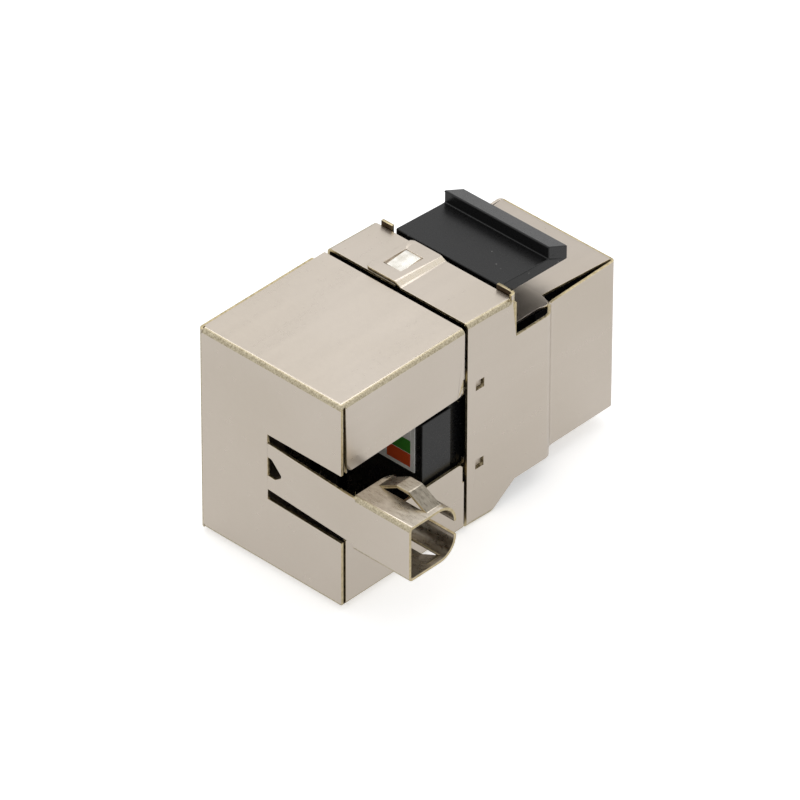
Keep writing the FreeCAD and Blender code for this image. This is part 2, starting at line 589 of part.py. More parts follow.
# ---- panel latch ---------------------------------------------------------------------------------
def make_panel_latch():
    """Arm with the hook bar, on a leg that turns at its foot."""
    half = LATCH_WIDTH / 2
    slope = (LATCH_TOP_REAR - HOOK_FOOT) / (LATCH_REAR - HOOK_REAR)
    under_rear = LATCH_TOP_REAR - ARM_THICKNESS - slope * (LEG_THICKNESS + 1.0)
    leg_front = LATCH_REAR - LEG_THICKNESS
    neck_top = PIVOT_Z + PIVOT_RADIUS + 0.9
    neck = (PIVOT_Y - NECK_THICKNESS / 2, PIVOT_Y + NECK_THICKNESS / 2)
    profile = [
        (LATCH_REAR, LATCH_TOP_REAR, 0.15), (LATCH_REAR, neck_top + 0.6), (neck[1], neck_top),
        (neck[1], PIVOT_Z),
        (neck[0], PIVOT_Z), (neck[0], neck_top), (leg_front, neck_top + 0.6), (leg_front, under_rear, 0.8),
        (HOOK_FRONT, HOOK_NOSE_BOTTOM, 0.15), (HOOK_FRONT, HOOK_NOSE_TOP, 0.12), (HOOK_REAR, HOOK_TOP, 0.12),
        (HOOK_REAR, HOOK_FOOT, 0.1),
    ]
    body = prism(profile, "yz", -half, half)
    knuckle = Part.makeCylinder(PIVOT_RADIUS, 2 * half, V(-half, PIVOT_Y, PIVOT_Z), V(1, 0, 0))
    return joined([body, knuckle])


# ---- insert --------------------------------------------------------------------------------------
def make_jack_insert():
    """Moulding that fills the nose and carries the port, the contacts and the latch."""
    play = SHEET + FIT
    nose = box((-NOSE_HALF + play, NOSE_HALF - play), (play, INSERT_REAR),
               (-NOSE_TOP + play, NOSE_TOP - play))
    wide = HALF - play
    block = box((-wide, wide), (SHOULDER_END + 0.4, INSERT_REAR), (RECESS_TOP + 0.3, NOSE_TOP - play))
    back = box((-wide, wide), (NOTCH_FRONT + 0.45, INSERT_REAR), (0, INSERT_BACK_TOP))
    body = joined([nose, block, back])
    port = port_cutout(0, -1, PORT_DEPTH)
    pocket = box((-CARRIER_WIDTH / 2 - CARRIER_PLAY, CARRIER_WIDTH / 2 + CARRIER_PLAY),
                 (CARRIER_FRONT - 2 * CARRIER_PLAY, INSERT_REAR + 1),
                 (PORT_TOP - 0.05, PORT_TOP + CARRIER_HEIGHT + 2 * CARRIER_PLAY))
    radius = PIVOT_RADIUS + PIVOT_CLEAR
    step_x = NOSE_HALF - NOSE_TOP_INSET - 2 * FIT
    rear_x = HALF - SHELF_INSET - SHEET
    low = NOSE_TOP - SIDE_STEP
    steps = [box((step_x, HALF), (1, SHOULDER_END), (low, NOSE_TOP)),
             box((rear_x, HALF), (SHOULDER_END - 1, NOTCH_FRONT + SHEET), (low, NOSE_TOP + 1))]
    steps += [mirrored(step) for step in steps]
    seat_half = LATCH_WIDTH / 2 + 0.15
    seat = Part.makeCylinder(radius, 2 * seat_half, V(-seat_half, PIVOT_Y, PIVOT_Z), V(1, 0, 0))
    return body.cut([port, pocket, seat] + steps)


# ---- carrier and contacts ------------------------------------------------------------------------
def contact_x(i):
    """X of contact i, counted from 0."""
    return (i - (CONTACT_COUNT - 1) / 2) * CONTACT_PITCH


def make_contact_carrier():
    """Comb block over the port that guides the contacts."""
    slab = box((-CARRIER_WIDTH / 2, CARRIER_WIDTH / 2), (CARRIER_FRONT, INSERT_REAR - 0.05),
               (PORT_TOP, PORT_TOP + CARRIER_HEIGHT))
    half = CONTACT_SIZE / 2 + GROOVE_PLAY
    grooves = []
    for i in range(CONTACT_COUNT):
        x = contact_x(i)
        grooves.append(box((x - half, x + half), (CARRIER_FRONT - 1, INSERT_REAR),
                           (PORT_TOP - 1, CONTACT_TOP + GROOVE_PLAY)))
    return slab.cut(grooves)


def make_contact(i):
    """Spring contact: out of the board, along the groove, round the front and back into the port."""
    x = contact_x(i)
    path = [(BOARD_REAR, CONTACT_TOP), (CONTACT_FRONT, CONTACT_TOP, CONTACT_BEND),
            (CONTACT_FRONT, CONTACT_TOP - CONTACT_DROP, CONTACT_BEND), CONTACT_TIP]
    return prism(strip(path, CONTACT_SIZE), "yz", x - CONTACT_SIZE / 2, x + CONTACT_SIZE / 2)


# ---- circuit board and terminals -----------------------------------------------------------------
def terminal_places():
    """X and Z of the wire terminals, upper row first."""
    places = []
    for height in ROW_HEIGHTS:
        for i in range(IDC_PER_ROW):
            places.append(((i - (IDC_PER_ROW - 1) / 2) * IDC_PITCH, height))
    return places


def make_circuit_board():
    """Upright board with a hole for every contact and terminal pin."""
    half = BOARD_HALF
    corners = [(-half, BOARD_BOTTOM + BOARD_CORNER), (-half + BOARD_CORNER, BOARD_BOTTOM),
               (half - BOARD_CORNER, BOARD_BOTTOM), (half, BOARD_BOTTOM + BOARD_CORNER),
               (half, BOARD_TOP), (-half, BOARD_TOP)]
    board = prism(corners, "xz", BOARD_FRONT, BOARD_REAR)
    holes = []
    size = CONTACT_SIZE / 2 + HOLE_PLAY
    middle = CONTACT_TOP - CONTACT_SIZE / 2
    for i in range(CONTACT_COUNT):
        x = contact_x(i)
        holes.append(box((x - size, x + size), (BOARD_FRONT - 1, BOARD_REAR + 1),
                         (middle - size, middle + size)))
    width, tall = PIN_WIDTH / 2 + HOLE_PLAY, BLADE_THICKNESS / 2 + HOLE_PLAY
    for x, z in terminal_places():
        holes.append(box((x - width, x + width), (BOARD_FRONT - 1, BOARD_REAR + 1), (z - tall, z + tall)))
    return board.cut(holes)


def make_idc_block():
    """Base plate with two towers that hold the wire terminals."""
    half = IDC_HALF
    base = box((-half, half), (BOARD_REAR, IDC_REAR), (BOARD_BOTTOM + 0.2, BOARD_TOP - 0.3))
    towers = [box((-TOWER_HALF, TOWER_HALF), (IDC_REAR, TOWER_REAR),
                  (z - TOWER_HEIGHT / 2, z + TOWER_HEIGHT / 2)) for z in ROW_HEIGHTS]
    block = joined([base] + towers)
    cuts = []
    for x, z in terminal_places():
        width, tall = BLADE_WIDTH / 2 + 0.05, BLADE_THICKNESS / 2 + 0.05
        cuts.append(box((x - width, x + width), (BOARD_REAR - 1, TOWER_REAR + 1), (z - tall, z + tall)))
        groove = WIRE_GROOVE / 2
        cuts.append(box((x - groove, x + groove), (TOWER_REAR - FORK_DEPTH - 1.0, TOWER_REAR + 1),
                        (z - TOWER_HEIGHT, z + TOWER_HEIGHT)))
    return block.cut(cuts)


def make_idc_terminal(x, z):
    """Forked blade whose slot cuts the wire's insulation, with a pin into the board."""
    tip = TOWER_REAR - BLADE_SHY
    half, slot = BLADE_WIDTH / 2, FORK_SLOT / 2
    pin = PIN_WIDTH / 2
    outline = [
        (x - pin, BOARD_FRONT), (x + pin, BOARD_FRONT), (x + pin, BOARD_REAR), (x + half, BOARD_REAR),
        (x + half, tip, 0.3), (x + FORK_MOUTH / 2, tip), (x + slot, tip - 0.6),
        (x + slot, tip - FORK_DEPTH), (x - slot, tip - FORK_DEPTH), (x - slot, tip - 0.6),
        (x - FORK_MOUTH / 2, tip), (x - half, tip, 0.3), (x - half, BOARD_REAR), (x - pin, BOARD_REAR),
    ]
    return prism(outline, "xy", z - BLADE_THICKNESS / 2, z + BLADE_THICKNESS / 2)


# ---- wire manager and label ----------------------------------------------------------------------
def make_wire_manager():
    """Block that carries the wires in its grooves and presses them onto the terminals."""
    half, r = MANAGER_HALF, MANAGER_ROUND
    plan = [(-half, MANAGER_FRONT), (half, MANAGER_FRONT), (half, MANAGER_REAR, r), (-half, MANAGER_REAR, r)]
    block = prism(plan, "xy", MANAGER_BOTTOM, MANAGER_TOP)
    cuts = []
    pocket_rear = MANAGER_FRONT + POCKET_DEPTH
    for z in ROW_HEIGHTS:
        tall = TOWER_HEIGHT / 2 + MANAGER_PLAY
        wide = TOWER_HALF + MANAGER_PLAY
        cuts.append(box((-wide, wide), (MANAGER_FRONT - 1, pocket_rear), (z - tall, z + tall)))
    low = ROW_HEIGHTS[1] + TOWER_HEIGHT / 2 + CORE_WALL
    high = ROW_HEIGHTS[0] - TOWER_HEIGHT / 2 - CORE_WALL
    cuts.append(box((-CORE_WIDTH / 2, CORE_WIDTH / 2), (MANAGER_FRONT - 1, MANAGER_FRONT + CORE_DEPTH),
                    (low, high)))
    groove = WIRE_GROOVE / 2
    for x, z in terminal_places():
        outside = MANAGER_TOP + 1 if z > 0 else MANAGER_BOTTOM - 1
        cuts.append(box((x - groove, x + groove), (MANAGER_FRONT + 1.2, MANAGER_REAR + 1),
                        sorted((z, outside))))
    return block.cut(cuts)


def make_colour_label():
    """Thin wiring label on the manager's rear face."""
    half = MANAGER_HALF - LABEL_MARGIN
    return box((-half, half), (MANAGER_REAR, MANAGER_REAR + LABEL_THICKNESS), (LABEL_BOTTOM, LABEL_TOP))


# ---- output --------------------------------------------------------------------------------------
def all_parts():
    """Every sub-part by its node name."""
    parts = {
        "front_shield": make_front_shield(),
        "rear_cap": make_rear_cap(),
        "panel_latch": make_panel_latch(),
        "jack_insert": make_jack_insert(),
        "contact_carrier": make_contact_carrier(),
        "circuit_board": make_circuit_board(),
        "idc_block": make_idc_block(),
        "wire_manager": make_wire_manager(),
        "colour_label": make_colour_label(),
    }
    for i in range(CONTACT_COUNT):
        parts[f"contact_{i + 1}"] = make_contact(i)
    for i, (x, z) in enumerate(terminal_places()):
        parts[f"idc_terminal_{i + 1}"] = make_idc_terminal(x, z)
    return parts


os.makedirs("parts", exist_ok=True)
for node, shape in all_parts().items():
    solids = shape.Solids
    print(node, "solids", len(solids), "valid", shape.isValid(), "volume", round(shape.Volume, 3))
    if len(solids) == 1:
        shape = solids[0]
    shape.exportStep(f"parts/{node}.step")
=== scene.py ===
# %% [markdown]
# # A shielded keystone jack with a side cable outlet
#
# A keystone jack is the socket that snaps into a wall plate or a patch panel. This one is
# wrapped in thin plated sheet metal. A black latch holds it in the panel, a folded cap closes
# the back, and a small open clamp on the cap grips the cable that leaves sideways.
#
# The script dresses a finished CAD model. It starts by loading that model as a fixed frame:
# every solid is already in its place, in metres, with Z up. Nothing here moves or reshapes a
# CAD solid. A piece either gets a better finish, or is replaced by a detailed copy that fills
# the same space.

# %% Load the frame
from math import cos, radians, sin
import bmesh
import bpy
from mathutils import Matrix, Vector
from mathutils.bvhtree import BVHTree


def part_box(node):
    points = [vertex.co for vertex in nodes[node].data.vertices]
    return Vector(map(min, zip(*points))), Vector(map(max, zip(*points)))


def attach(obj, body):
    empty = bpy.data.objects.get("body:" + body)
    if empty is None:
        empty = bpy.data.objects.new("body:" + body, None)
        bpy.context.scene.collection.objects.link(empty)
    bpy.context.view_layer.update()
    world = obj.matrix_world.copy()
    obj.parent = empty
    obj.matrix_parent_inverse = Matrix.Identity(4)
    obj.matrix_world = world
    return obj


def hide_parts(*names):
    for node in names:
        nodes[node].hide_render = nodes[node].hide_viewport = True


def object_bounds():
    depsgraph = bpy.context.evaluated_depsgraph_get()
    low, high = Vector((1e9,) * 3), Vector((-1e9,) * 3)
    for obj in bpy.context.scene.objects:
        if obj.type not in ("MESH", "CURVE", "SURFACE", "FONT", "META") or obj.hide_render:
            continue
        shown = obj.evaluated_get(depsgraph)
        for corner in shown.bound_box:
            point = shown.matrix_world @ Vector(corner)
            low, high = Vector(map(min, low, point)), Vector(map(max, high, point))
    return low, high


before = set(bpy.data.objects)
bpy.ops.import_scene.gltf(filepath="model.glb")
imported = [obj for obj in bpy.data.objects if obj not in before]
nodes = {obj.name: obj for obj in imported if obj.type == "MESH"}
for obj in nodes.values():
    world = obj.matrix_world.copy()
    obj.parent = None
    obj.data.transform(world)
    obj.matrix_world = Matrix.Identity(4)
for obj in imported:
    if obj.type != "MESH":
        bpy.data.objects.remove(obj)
cad_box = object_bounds()
MM = 0.001

# %% [markdown]
# ## Small helpers for materials
#
# A procedural material is a small graph of nodes. Writing each node and each link by hand takes
# many lines, so two helpers do it: `new_finish` makes a material with its Principled shader, and
# `add` makes one node, sets its options and fills or links its sockets.

# %% Materials and nodes
def new_finish(name, **constants):
    """A material with its Principled shader; the constants go straight onto its sockets."""
    finish = bpy.data.materials.new(name)
    finish.use_nodes = True
    tree = finish.node_tree
    shader = tree.nodes["Principled BSDF"]
    for title, value in constants.items():
        shader.inputs[title.replace("_", " ")].default_value = value
    return finish, tree, shader


def add(tree, kind, options=None, sockets=None):
    """One node: options are its settings, sockets are values or the outputs that feed it."""
    made = tree.nodes.new(kind)
    for title, value in (options or {}).items():
        setattr(made, title, value)
    for title, value in (sockets or {}).items():
        if isinstance(value, bpy.types.NodeSocket):
            tree.links.new(value, made.inputs[title])
        else:
            made.inputs[title].default_value = value
    return made


def feed(tree, shader, title, value):
    """Link a socket into the shader."""
    tree.links.new(value, shader.inputs[title])


print("helpers:", new_finish.__name__, add.__name__, feed.__name__)

# %% [markdown]
# ## Patterns
#
# A pattern reads Object coordinates. Every piece sits at the origin, so those are simply metres
# in the model's frame, and a finer grain needs a larger noise scale. Most finishes here are made
# the same way: one noise drives the colour, the gloss and a slight relief together, so that all
# three change in the same spots, as on a real surface. `grained_finish` makes such a finish.

# %% Patterns
def place_on_object(tree, scale=(1, 1, 1)):
    """Object coordinates, stretched by a scale for each axis."""
    where = add(tree, "ShaderNodeTexCoord").outputs["Object"]
    return add(tree, "ShaderNodeMapping", None, {"Vector": where, "Scale": scale}).outputs["Vector"]


def noise(tree, scale, detail=3.0, roughness=0.55, stretch=(1, 1, 1)):
    """Soft random pattern between 0 and 1."""
    return add(tree, "ShaderNodeTexNoise", None,
               {"Vector": place_on_object(tree, stretch), "Scale": scale,
                "Detail": detail, "Roughness": roughness}).outputs["Fac"]


def between(tree, factor, low, high, start=0.3, end=0.7):
    """The factor's range start..end becomes low..high."""
    return add(tree, "ShaderNodeMapRange", None,
               {"Value": factor, "From Min": start, "From Max": end,
                "To Min": low, "To Max": high}).outputs["Result"]


def combined(tree, operation, first, second, **options):
    """Output of a math node over two values."""
    return add(tree, "ShaderNodeMath", {"operation": operation, **options},
               {0: first, 1: second}).outputs[0]


def tinted(tree, factor, stops, sharp=False):
    """Colour output of a ramp over the factor."""
    made = add(tree, "ShaderNodeValToRGB", None, {"Fac": factor})
    ramp = made.color_ramp
    ramp.interpolation = "CONSTANT" if sharp else "LINEAR"
    while len(ramp.elements) < len(stops):
        ramp.elements.new(1.0)
    for element, (place, colour) in zip(ramp.elements, stops):
        element.position = place
        element.color = (*colour, 1.0)
    return made.outputs["Color"]


def relief(tree, shader, height, depth):
    """Bump of this depth, in metres, on the shader."""
    made = add(tree, "ShaderNodeBump", None, {"Height": height, "Distance": depth, "Strength": 1.0})
    feed(tree, shader, "Normal", made.outputs["Normal"])


def grained_finish(name, grain, dark, light, smooth, rough, depth=0.0, ends=(0.30, 0.70),
                   metallic=1.0):
    """One noise drives colour, gloss and relief; grain holds that noise's settings."""
    finish, tree, shader = new_finish(name, Metallic=metallic)
    pattern = noise(tree, **grain)
    feed(tree, shader, "Base Color", tinted(tree, pattern, list(zip(ends, (dark, light)))))
    feed(tree, shader, "Roughness", between(tree, pattern, smooth, rough))
    if depth:
        relief(tree, shader, pattern, depth)
    return finish


print("noise scale for a grain of 0.2 mm:", round(1 / (0.2 * MM)))

# %% [markdown]
# ## The plated sheet
#
# The shell is brass sheet, 0.3 mm thick, with a thin coat of nickel. Nickel is a warm, pale grey
# metal. It came off a rolling mill and through a plating bath, so it is satin rather than mirror
# bright: it shows soft light and dark areas, never a sharp picture of the room.
#
# A painted picture could give this look, but it would need a map of the surface. Noise in three
# dimensions needs none and has no seams. Four sizes of it are used: a broad cloud that varies the
# warmth over a centimetre, a fine grain and a few long faint marks along the rolling direction
# that vary the gloss, and a slow waviness of a thousandth of a millimetre, because thin sheet is
# never quite flat. Noise is cheap, too: another pair of tones makes a second finish, for the
# nose's top, which is darker than the rest: painted shade from the latch beside it.

# %% Plated sheet
def plated_sheet(name, dark, light):
    finish, tree, shader = new_finish(name, Metallic=1.0)
    cloud = noise(tree, 55.0, detail=2.0)
    feed(tree, shader, "Base Color", tinted(tree, cloud, [(0.30, dark), (0.70, light)]))
    grain = noise(tree, 2600.0, detail=4.0)
    marks = noise(tree, 900.0, detail=3.0, stretch=(1.0, 0.06, 1.0))
    both = combined(tree, "ADD", grain, marks)
    feed(tree, shader, "Roughness", between(tree, both, 0.27, 0.37, 0.7, 1.3))
    relief(tree, shader, noise(tree, 260.0, detail=1.0), 1.5e-6)
    return finish


PLATED = plated_sheet("satin_plated_sheet", (0.600, 0.532, 0.450), (0.648, 0.581, 0.506))
# Darker tones: painted shade on the nose's top, from the latch beside it.
NOSE_TOP_PAINTED_SHADE = plated_sheet("satin_plated_nose_top_painted_shade", (0.528, 0.468, 0.400), (0.570, 0.511, 0.449))
print("plated finishes:", PLATED.name, NOSE_TOP_PAINTED_SHADE.name)

# %% [markdown]
# ## Bends and cut edges
#
# Where the sheet is bent, the plating stretches over the corner and turns slightly rough, like
# fine orange peel. The bends are also darker in colour: partly the stretched plating, partly
# painted shade for the darker band that a bend shows below its bright line. Where it was cut by
# the press, after plating, the bare brass shows: a thin yellow line that follows every edge. Both
# are only a few tenths of a millimetre wide, but they make folded sheet look like folded sheet.

# %% Bends and cut edges
# Darker than the flat sheet: stretched plating, and partly painted shade on the bends.
BENT_AND_SHADED = grained_finish("stretched_plating_and_painted_shade_at_bends", dict(scale=6400.0, roughness=0.6),
                      (0.330, 0.275, 0.180), (0.670, 0.600, 0.440), 0.32, 0.46,
                      depth=8e-6, ends=(0.32, 0.68))
BRASS = grained_finish("bare_brass_edge", dict(scale=3000.0),
                       (0.440, 0.360, 0.200), (0.660, 0.560, 0.360), 0.28, 0.46, depth=8e-6)
print("finishes:", BENT_AND_SHADED.name, BRASS.name)

# %% [markdown]
# ## Drawn places, painted shade and a painted highlight
#
# Where a punch drew the sheet out, as at the clamp's bridges and lips, the plating is greyer and
# streaky: a noise whose scale differs from axis to axis gives spots that are longer than wide.
# Three greys serve the light pull on the arms, the stronger one on the bridges, and the near-dark
# slope of the upper bridge. The stronger grey also covers the curled lips, the lower arm and the
# slope of the lapped joint, and there it is partly painted shade; the near-dark one is a painted
# dark reflection.
#
# The walls of the pressed dimples are dark and spotty: painted shade in the dimples. The small
# locking tooth on top is nearly white: a painted highlight. The two lugs ahead of the roof face
# away from the light and look almost black.

# %% Drawn places, painted shade and a painted highlight
def drawn_sheet(name, dark, light):
    streaks = dict(scale=2800.0, detail=4.0, roughness=0.6, stretch=(0.45, 1.2, 0.45))
    return grained_finish(name, streaks, dark, light, 0.24, 0.36, depth=3e-6)


SHEET_FINISHES = [
    PLATED, BENT_AND_SHADED, BRASS,
    drawn_sheet("pressed_sheet", (0.470, 0.420, 0.350), (0.650, 0.590, 0.505)),
    # Darker grey: streaky drawn plating, and partly painted shade on the clamp's lips, bridge and
    # lower arm and on the slope of the lapped joint.
    drawn_sheet("drawn_sheet", (0.360, 0.315, 0.250), (0.520, 0.470, 0.395)),
    # Near-dark grey: a painted dark reflection on the slope of the upper bridge.
    drawn_sheet("painted_dark_reflection_on_slope", (0.130, 0.113, 0.088), (0.290, 0.260, 0.210)),
    # Painted shade in the walls of the dimples.
    grained_finish("painted_shade_in_dimples", dict(scale=2600.0),
                   (0.050, 0.034, 0.018), (0.420, 0.350, 0.220), 0.35, 0.50, ends=(0.38, 0.64)),
    # Nearly white: a painted highlight on the locking tooth.
    grained_finish("painted_highlight_on_tooth", dict(scale=700.0, detail=2.0),
                   (0.780, 0.735, 0.640), (0.970, 0.945, 0.880), 0.16, 0.30, ends=(0.34, 0.56)),
    grained_finish("shaded_lug", dict(scale=1400.0),
                   (0.045, 0.030, 0.018), (0.110, 0.080, 0.050), 0.30, 0.44, ends=(0.35, 0.65)),
    NOSE_TOP_PAINTED_SHADE,
]
FACE, CURVE, EDGE, PRESSED, DRAWN_AND_SHADED, SLOPE_DARK_REFLECTION, DIMPLE_SHADE, TOOTH_HIGHLIGHT, SHADED, NOSE_SHADE = range(len(SHEET_FINISHES))
print("sheet finishes:", [finish.name for finish in SHEET_FINISHES])

# %% [markdown]
# ## From CAD solid to finished piece
#
# A CAD solid arrives as loose triangles with knife-sharp corners. So each visible piece is a
# copy. Its doubles are merged, and the long slivers among the triangles of each flat are swapped
# for rounder ones, because a bevel next to a sliver goes wrong.

# %% Copying
WELD = 0.0005 * MM
COPLANAR = radians(0.05)


def welded_copy(node):
    """The node's mesh as an editable copy with its doubles merged."""
    work = bmesh.new()
    work.from_mesh(nodes[node].data)
    bmesh.ops.remove_doubles(work, verts=work.verts, dist=WELD)
    bmesh.ops.dissolve_degenerate(work, edges=work.edges, dist=WELD)
    flat = [edge for edge in work.edges
            if len(edge.link_faces) == 2 and edge.calc_face_angle(1.0) < COPLANAR]
    bmesh.ops.beautify_fill(work, faces=work.faces, edges=flat, use_restrict_tag=False,
                            method="ANGLE")
    work.normal_update()
    return work


def placed(name, data):
    """A new object at the origin of the scene."""
    made = bpy.data.objects.new(name, data)
    bpy.context.scene.collection.objects.link(made)
    return made


def as_object(work, name, finishes):
    """The edited mesh as a smooth-shaded object."""
    mesh = bpy.data.meshes.new(name)
    for finish in finishes:
        mesh.materials.append(finish)
    for face in work.faces:
        face.smooth = True
    work.to_mesh(mesh)
    work.free()
    return placed(name, mesh)


trial = welded_copy("front_shield")
print("front_shield: vertices", len(nodes["front_shield"].data.vertices), "->", len(trial.verts))
trial.free()

# %% [markdown]
# Real corners always have a small radius, and that radius catches the light. A Bevel modifier
# rounds the corners, and weighted normals then keep the large flats truly flat in the shading.
# Where many short edges meet, a bevel can throw a point out like a thorn. So its result is made
# a plain mesh at once, and every point is kept inside the box that the sharp piece filled.

# %% Softening
def evaluated_mesh(piece):
    """The piece's mesh with its modifiers applied."""
    bpy.context.view_layer.update()
    seen = piece.evaluated_get(bpy.context.evaluated_depsgraph_get())
    return bpy.data.meshes.new_from_object(seen)


def soften(piece, width, segments, limit):
    """Rounds the corners sharper than the limit, in degrees, and keeps the flats flat."""
    corners = [Vector(corner) for corner in piece.bound_box]
    low = Vector([min(corner[i] for corner in corners) for i in range(3)])
    high = Vector([max(corner[i] for corner in corners) for i in range(3)])
    bevel = piece.modifiers.new("rounded_corners", "BEVEL")
    bevel.width = width
    bevel.segments = segments
    bevel.limit_method = "ANGLE"
    bevel.angle_limit = radians(limit)
    bevel.use_clamp_overlap = False
    bevel.miter_outer = "MITER_ARC"
    rounded = evaluated_mesh(piece)
    piece.modifiers.remove(bevel)
    piece.data = rounded
    for point in rounded.vertices:
        point.co = [min(max(v, lo), hi) for v, lo, hi in zip(point.co, low, high)]
    flats = piece.modifiers.new("flat_flats", "WEIGHTED_NORMAL")
    flats.keep_sharp = False


EDGE_ROUND = 0.035 * MM     # a cut sheet's edge is nearly sharp
CORNER_ROUND = 0.09 * MM    # a moulding's corners are softer
print("corner radii in mm:", round(EDGE_ROUND / MM, 3), round(CORNER_ROUND / MM, 3))

# %% [markdown]
# ## The shield and the cap
#
# Both are one sheet each, so one function dresses both. It has to know which faces are the
# sheet's plated skin, which lie on a bend and which were cut by the press. Picking them by hand
# would break with the next change of the CAD model, so they are found by measuring. A ray shot
# from each triangle into the metal tells: through the skin it leaves again after one sheet
# thickness, while behind a cut edge the metal goes on much further. A skin triangle whose normal
# leans between two of the main directions lies on a bend.

# %% Which finish a face gets
SHEET = 0.30 * MM
SKIN_DEPTH = (0.6 * SHEET, 1.35 * SHEET)
START_BELOW = 0.002 * MM    # the ray starts this far under the face, to miss the face itself
LEAN = 0.10                 # part of the normal along an axis that counts as leaning
NEARLY_UP = 0.975           # a face that leans less than this from straight up is flat


def finish_of_face(face, tree, changes):
    """Plated skin, bend or bare edge, unless the place asks for another finish."""
    middle = face.calc_center_median()
    depth = tree.ray_cast(middle - face.normal * START_BELOW, -face.normal)[3]
    leaning = sum(abs(part) > LEAN for part in face.normal)
    found = CURVE if leaning >= 2 and face.normal.z < NEARLY_UP else FACE
    if depth is None or not SKIN_DEPTH[0] < depth < SKIN_DEPTH[1]:
        found = EDGE
    for kinds, other, low, high in changes:
        if found in kinds and all(lo <= v / MM <= hi for lo, v, hi in zip(low, middle, high)):
            return other
    return found


print("skin is between", [round(depth / MM, 3) for depth in SKIN_DEPTH], "mm thick")

# %% [markdown]
# Some places differ. Each line below names the kinds of face it is for, the finish they get
# there, and two opposite corners of a box in millimetres that holds the place. The first line
# that fits is used.

# %% Places with another finish
LUG_FOOT = 12.66            # height at which the lugs ahead of the roof rise above it
PLACES = {
    "front_shield": [
        # the shelf under the latch and the far edge of the nose's top, plated after the cut
        ((EDGE,), FACE, (-7.35, 8.8, 7.9), (7.35, 15.2, 8.6)),
        ((EDGE,), FACE, (6.5, -1.0, 7.5), (9.0, 8.8, 9.2)),
        # the locking tooth in the window of the lapped joint, with a painted highlight, then the
        # joint's edges, its slope, in a grey that is partly painted shade, and its fillets
        ((FACE, EDGE, CURVE), TOOTH_HIGHLIGHT, (1.15, 17.1, 13.0), (3.1, 19.9, 13.3)),
        ((EDGE,), FACE, (-0.8, 15.3, 12.2), (4.5, 21.4, 14.0)),
        ((CURVE,), DRAWN_AND_SHADED, (-0.27, 15.3, 12.2), (0.17, 21.6, 14.0)),
        ((CURVE,), FACE, (-0.8, 15.3, 12.2), (4.5, 21.4, 14.0)),
        # the rear faces of the two lugs
        ((FACE,), SHADED, (-8.4, 15.3, LUG_FOOT), (-6.3, 15.4, 13.3)),
        ((FACE,), SHADED, (6.3, 15.3, LUG_FOOT), (8.6, 15.4, 13.3)),
        # the nose's top, in painted shade from the latch, and the wide soft bends of the shoulders
        # and of the nose's front, which aren't stretched
        ((FACE,), NOSE_SHADE, (-7.05, -0.2, 7.9), (7.05, 8.9, 8.7)),
        ((CURVE,), FACE, (-9.0, 8.0, -9.0), (9.0, 11.8, 8.4)),
        ((CURVE,), FACE, (-8.0, -1.0, -10.6), (8.0, 1.0, 9.0)),
        # the walls of the upper and the lower dimples, in painted shade
        ((EDGE, CURVE), DIMPLE_SHADE, (-9.0, 19.1, 4.8), (9.0, 20.6, 6.2)),
        ((EDGE, CURVE), DIMPLE_SHADE, (-9.0, 19.1, -4.1), (9.0, 20.6, -2.7)),
    ],
    "rear_cap": [
        # the clamp: the slope of its upper bridge, with a painted dark reflection, its curled lips,
        # the rest of the bridge, the upper arm and the lower arm, where the lips, the bridge and
        # the lower arm are a grey that is partly painted shade
        ((FACE, CURVE), SLOPE_DARK_REFLECTION, (-17.3, 34.1, 4.31), (-15.2, 36.1, 5.6)),
        ((CURVE,), DRAWN_AND_SHADED, (-18.0, 32.0, -4.0), (-10.95, 37.9, 7.0)),
        ((FACE,), DRAWN_AND_SHADED, (-18.0, 34.1, 4.31), (-10.0, 36.1, 5.6)),
        ((FACE,), PRESSED, (-18.0, 31.0, 3.9), (-10.0, 37.6, 7.0)),
        ((FACE,), DRAWN_AND_SHADED, (-18.0, 31.0, -5.0), (-10.0, 37.6, -1.4)),
    ],
}
print("places with another finish:", {node: len(lines) for node, lines in PLACES.items()})

# %% [markdown]
# ## Carving the cap's near side
#
# The cap's upper flap ends in a rounded corner beside the open seam, and the springy tab behind
# it starts a little above that corner. The CAD model has a plain flap there. Moving points by
# hand would be fragile, so the copy is cut like the real blank: a prism is pushed through the
# sheet and a Boolean takes it away. The exact solver is used, because the sheet is thin and some
# of the faces touch.

# %% Carving
def ring(work, points):
    """New vertices of the edited mesh, from points in mm."""
    return [work.verts.new([v * MM for v in point]) for point in points]


def walls(work, first, second):
    """The side faces between two rings."""
    pairs = [(i, (i + 1) % len(first)) for i in range(len(first))]
    return [work.faces.new((first[i], first[j], second[j], second[i])) for i, j in pairs]


def carved(work, outline, sides):
    """Takes a prism away from the edited mesh: outline in Y and Z, sides in X, all in mm."""
    cutter = bmesh.new()
    near, far = [ring(cutter, [(x, y, z) for y, z in outline]) for x in sides]
    cutter.faces.new(near[::-1])
    cutter.faces.new(far)
    walls(cutter, near, far)
    bmesh.ops.recalc_face_normals(cutter, faces=cutter.faces)
    sheet, prism = [as_object(shape, "carving", []) for shape in (work, cutter)]
    step = sheet.modifiers.new("carve", "BOOLEAN")
    step.operation = "DIFFERENCE"
    step.solver = "EXACT"
    step.object = prism
    result = bmesh.new()
    result.from_mesh(evaluated_mesh(sheet))
    for piece in (sheet, prism):
        bpy.data.objects.remove(piece)
    bmesh.ops.triangulate(result, faces=result.faces)
    bmesh.ops.remove_doubles(result, verts=result.verts, dist=WELD)
    result.normal_update()
    return result


